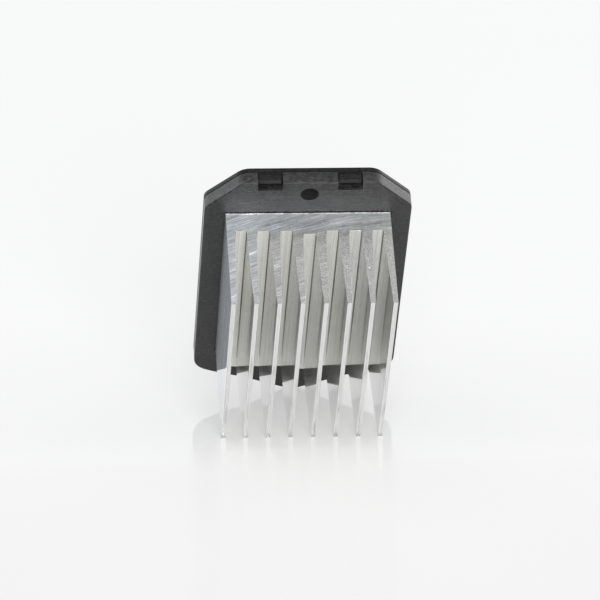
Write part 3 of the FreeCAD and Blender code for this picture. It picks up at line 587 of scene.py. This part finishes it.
def striped_sleeve_material():
    """Shrink sleeve with a pale stripe down the negative side."""
    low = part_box("capacitor_sleeve")[0]
    make = Maker("sleeve_film")
    place = make.place()
    stripe = make.below(make.axes(place)[0], low.x + 1.6 * MM)
    film = make.noise(place, (300, 300, 90), 3)
    dark = make.mix(film, (0.012, 0.014, 0.05, 1), (0.02, 0.024, 0.075, 1))
    pale = make.mix(film, (0.42, 0.44, 0.46, 1), (0.55, 0.56, 0.58, 1))
    make.surface(
        Base_Color=make.mix(stripe, dark, pale),
        Roughness=make.span(film, 0.3, 0.7, 0.25, 0.38),
        Normal=make.bump(film, 0.03 * MM, 0.4),
    )
    return make.material


def wound_wire_material():
    """Enamelled copper wire."""
    make = Maker("enamelled_copper")
    place = make.place()
    tone = make.noise(place, (700, 700, 1800), 3)
    make.surface(
        Base_Color=make.mix(make.span(tone, 0.3, 0.7), (0.42, 0.13, 0.045, 1), (0.62, 0.23, 0.08, 1)),
        Metallic=0.85,
        Roughness=make.span(tone, 0.3, 0.7, 0.22, 0.34),
        Coat_Weight=0.6,
        Coat_Roughness=0.1,
        Normal=make.bump(tone, 0.01 * MM, 0.4),
    )
    return make.material


def paint(node, material):
    """Puts one material on every slot of a CAD node."""
    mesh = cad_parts[node].data
    if not mesh.materials:
        mesh.materials.append(material)
    for index in range(len(mesh.materials)):
        mesh.materials[index] = material


def paint_all():
    tin = brushed_material("tinned_metal", grey(0.50), grey(0.72, 0.02), (900, 900, 5000), (0.26, 0.42))
    zinc = brushed_material("zinc_plated_steel", (0.42, 0.43, 0.44, 1), (0.66, 0.67, 0.66, 1),
                            (2500, 700, 2500), (0.28, 0.44))
    brass = brushed_material("tinned_brass", (0.56, 0.53, 0.47, 1), (0.76, 0.74, 0.70, 1), (3000, 60, 3000),
                             (0.24, 0.38))
    epoxy = mottled_material("moulded_epoxy", grey(0.014), grey(0.030), (500, 500, 500), (0.42, 0.58),
                             0.02 * MM, 5200, spot=grey(0.06))
    rubber = mottled_material("black_rubber", grey(0.018), grey(0.034), (300, 300, 300), (0.6, 0.75))
    silicone = mottled_material("silicone_seal", (0.50, 0.16, 0.10, 1), (0.62, 0.22, 0.14, 1),
                                (200, 200, 200), (0.45, 0.6))
    finishes = {
        "heat_sink": extrusion_material(),
        "front_tray": plastic_material("tray_plastic", grey(0.0005), grey(0.024),
                                       rough=0.33, grain_depth=0.15 * MM, scuff=0.60, ior=1.46),
        "rear_cover": plastic_material("cover_plastic", grey(0.001), grey(0.013),
                                       rough=0.34, grain_depth=0.05 * MM, scuff=0.25, ior=1.29),
        "sink_seal": silicone,
        "cover_seal": silicone,
        "sink_screws": zinc,
        "board_screws": zinc,
        "transistor_screw": zinc,
        "transistor_washer": zinc,
        "thermal_pad": mottled_material("thermal_pad_film", (0.50, 0.42, 0.44, 1), (0.62, 0.54, 0.55, 1),
                                        (2400, 400, 2400), (0.5, 0.65)),
        "transistor_case": epoxy,
        "transistor_tab": brushed_material("nickel_plated_copper",
                                           (0.58, 0.54, 0.48, 1), (0.74, 0.71, 0.66, 1),
                                           (2600, 2600, 120), (0.26, 0.4)),
        "transistor_leads": tin,
        "circuit_board": board_material(),
        "supply_terminal": brass,
        "motor_terminal": brass,
        "ground_terminal": brass,
        "signal_terminal": brass,
        "capacitor_can": brushed_material("drawn_aluminium", grey(0.60), grey(0.80),
                                          (400, 400, 5200), (0.24, 0.38)),
        "capacitor_sleeve": striped_sleeve_material(),
        "capacitor_bung": rubber,
        "capacitor_leads": tin,
        "diode_body": epoxy,
        "diode_band": mottled_material("band_paint", grey(0.48), grey(0.62), (600, 600, 600), (0.35, 0.5)),
        "diode_leads": tin,
        "choke_core": mottled_material("sintered_ferrite", grey(0.035), grey(0.075),
                                       (900, 900, 900), (0.5, 0.68), 0.03 * MM, 3800, spot=grey(0.12)),
        "choke_winding": wound_wire_material(),
        "shunt_resistor": brushed_material("resistance_alloy", (0.40, 0.33, 0.26, 1), (0.56, 0.48, 0.40, 1),
                                           (3200, 3200, 90), (0.3, 0.45)),
        "control_chip": epoxy,
        "chip_leads": tin,
        "ceramic_capacitors": mottled_material("fired_ceramic", (0.36, 0.24, 0.15, 1), (0.46, 0.32, 0.20, 1),
                                               (900, 900, 900), (0.4, 0.52)),
        "ceramic_capacitor_ends": tin,
        "chip_resistors": mottled_material("resistor_glaze", grey(0.016), grey(0.032),
                                           (900, 900, 900), (0.25, 0.4)),
        "chip_resistor_ends": tin,
        "surge_suppressor": epoxy,
        "suppressor_tabs": tin,
        "solder_joints": mottled_material("solder", grey(0.52, 0.02), grey(0.70, 0.02), (1600, 1600, 1600),
                                          (0.2, 0.36), 0.03 * MM, 4200, metallic=1.0),
    }
    for node in sorted(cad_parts):
        paint(node, finishes[node])


# ---------------------------------------------------------------- added detail

def burr_line(mesh, start, end, lift, out, height, width, pieces, dice):
    """Ragged ridge of saw burr between two points, standing up along lift and lying out along out."""
    previous = None
    for step in range(pieces + 1):
        share = step / pieces
        foot = start.lerp(end, share)
        tall = height * dice.uniform(0.15, 1.0) ** 2
        wide = width * (0.25 + 1.6 * dice.uniform(0.0, 1.0) ** 5)
        ring = [
            mesh.verts.new(foot - lift * height * 0.5),
            mesh.verts.new(foot + out * wide),
            mesh.verts.new(foot + lift * tall + out * wide * 0.6),
            mesh.verts.new(foot + lift * tall * 0.6 - out * width * 0.3),
        ]
        if previous is None:
            mesh.faces.new(reversed(ring))
        else:
            for index in range(4):
                after = (index + 1) % 4
                mesh.faces.new((previous[index], previous[after], ring[after], ring[index]))
        previous = ring
    mesh.faces.new(previous)


def add_piece(name, mesh, material):
    """Finishes a bmesh as a piece of the part."""
    bmesh.ops.recalc_face_normals(mesh, faces=mesh.faces)
    data = bpy.data.meshes.new(name)
    mesh.to_mesh(data)
    mesh.free()
    data.materials.append(material)
    piece = bpy.data.objects.new(name, data)
    bpy.context.scene.collection.objects.link(piece)
    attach(piece, "root")


def sawn_edges(level, lift):
    """Edges of the heat sink's sawn end at a level, each with the outward normal of its upright face."""
    mesh = bmesh.new()
    mesh.from_mesh(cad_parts["heat_sink"].data)
    bmesh.ops.remove_doubles(mesh, verts=mesh.verts, dist=0.001 * MM)
    found = []
    for edge in mesh.edges:
        on_level = all(abs(vert.co.z - level) < 0.01 * MM for vert in edge.verts)
        ends = [face for face in edge.link_faces if face.normal.z * lift > 0.7]
        sides = [face for face in edge.link_faces if abs(face.normal.z) < 0.3]
        if on_level and ends and sides:
            start, end = sorted((tuple(vert.co) for vert in edge.verts))
            found.append((start, end, tuple(sides[0].normal)))
    mesh.free()
    return sorted(found)


def add_burr():
    """Ragged burr that the saw left: along the tray on both ends, and along the fins on the top end."""
    low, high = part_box("heat_sink")
    dice = random.Random(BURR_SEED)
    material = brushed_material("saw_burr", grey(0.50, 0.02), grey(0.80, 0.01), (900, 900, 900), (0.3, 0.5))
    forward = Vector((0, -1, 0))
    for name, level, lift in (("saw_burr_top", high.z, 1), ("saw_burr_bottom", low.z, -1)):
        mesh = bmesh.new()
        up = Vector((0, 0, lift))
        start = Vector((low.x + 0.2 * MM, -0.05 * MM, level))
        end = Vector((high.x - 0.2 * MM, -0.05 * MM, level))
        burr_line(mesh, start, end, up, forward, SEAM_BURR_HEIGHT, SEAM_BURR_WIDTH, SEAM_BURR_PIECES, dice)
        fin_edges = sawn_edges(level, lift) if lift > 0 else []
        for first, last, out in fin_edges:
            length = (Vector(last) - Vector(first)).length
            hidden = first[1] > -1.0 * MM or last[1] > -1.0 * MM
            at_tip = out[1] < -0.5 and first[1] < low.y + 1.0 * MM
            if length > 0.5 * MM and not hidden and not at_tip:
                pieces = max(2, round(length / EDGE_BURR_STEP))
                burr_line(mesh, Vector(first), Vector(last), up, Vector(out),
                          EDGE_BURR_HEIGHT, EDGE_BURR_WIDTH, pieces, dice)
        add_piece(name, mesh, material)


make_world()
make_camera()
floor_centre, floor_normal = floor_frame()
stand = standing_matrix(floor_centre, floor_normal)
floor = make_floor(stand)
floor.data.materials.append(floor_material())
for light_name, light_place, aim_height, wide, tall, radiance, colour in LIGHTS:
    soft_light(light_name, stand, light_place, (0, 0, aim_height), wide, tall, radiance, colour)
bpy.context.scene.view_settings.view_transform = "Standard"

paint_all()
add_burr()
